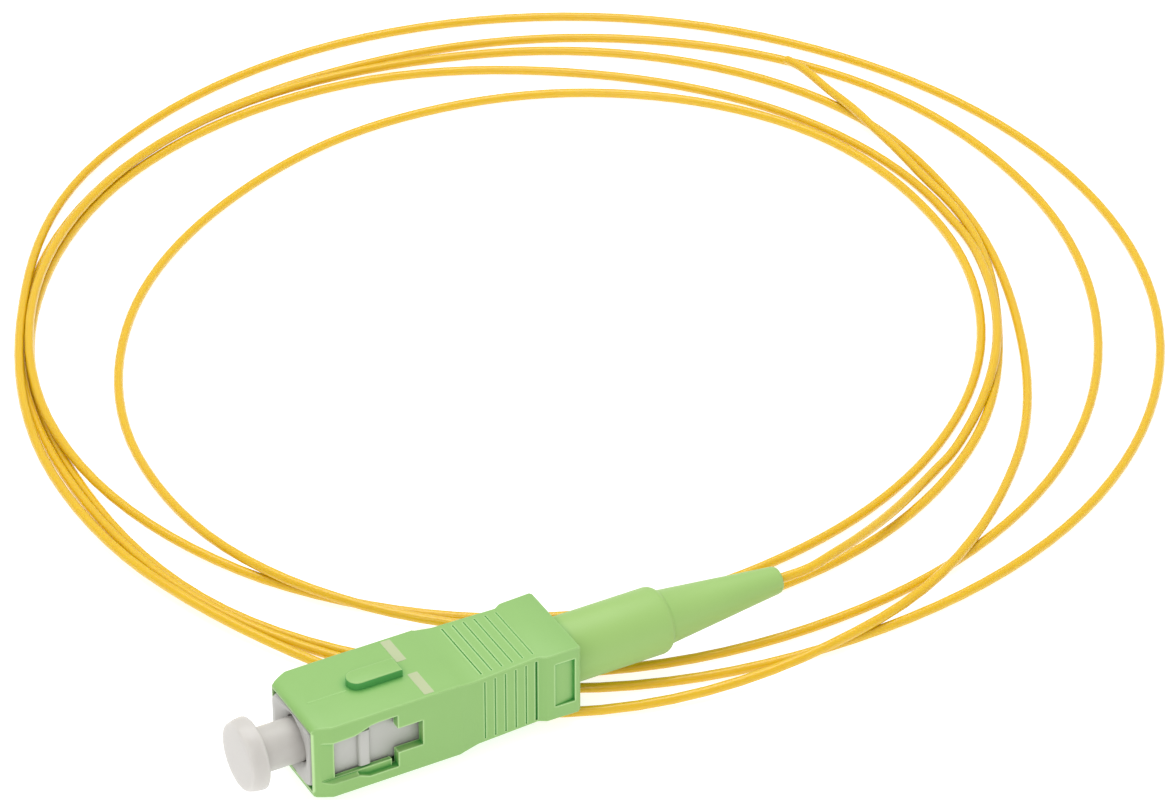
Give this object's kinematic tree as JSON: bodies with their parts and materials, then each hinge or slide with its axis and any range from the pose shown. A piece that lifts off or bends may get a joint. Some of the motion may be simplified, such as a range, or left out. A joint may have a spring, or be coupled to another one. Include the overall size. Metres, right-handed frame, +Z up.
{
  "type": "fibre optic pigtail",
  "caption": "Push-pull fibre optic plug with a sliding grip, round boot and dust cap, on a thin bare-ended fibre cord that lies in a loose coil.",
  "frame": {"origin": "middle of the underside of the outer housing's front part", "axes": "+X along the plug from its ferrule end towards its boot, +Z up through the key, +Y across towards the coil's middle"},
  "size_m": [0.1174, 0.1146, 0.0094],
  "materials": {
    "green_plastic": "moulded, satin",
    "white_plastic": "moulded, satin",
    "zirconia": "polished",
    "nickel_plate": "turned, plated",
    "spring_steel": "drawn wire",
    "green_rubber": "moulded, soft",
    "milky_plastic": "moulded, translucent",
    "yellow_jacket": "extruded, satin"
  },
  "bodies": {
    "plug": {"plug_frame": "white_plastic", "rear_body": "nickel_plate", "boot": "green_rubber", "fibre_cord_lead": "yellow_jacket", "fibre_cord_coil": "yellow_jacket"},
    "housing": {"outer_housing": "green_plastic"},
    "ferrule": {"ferrule": "zirconia", "ferrule_holder": "nickel_plate", "ferrule_spring": "spring_steel"},
    "cap": {"dust_cap": "milky_plastic"}
  },
  "joints": [
    {"name": "housing_slide", "type": "slide", "parent": "plug", "child": "housing", "axis": [1, 0, 0], "range_m": [0, 0.0018]},
    {"name": "ferrule_float", "type": "slide", "parent": "plug", "child": "ferrule", "axis": [1, 0, 0], "range_m": [0, 0.001], "stiffness_N_per_m": 2000, "deforming": ["ferrule_spring"]},
    {"name": "cap_slide", "type": "slide", "parent": "ferrule", "child": "cap", "axis": [-1, 0, 0], "range_m": [0, 0.012]}
  ]
}
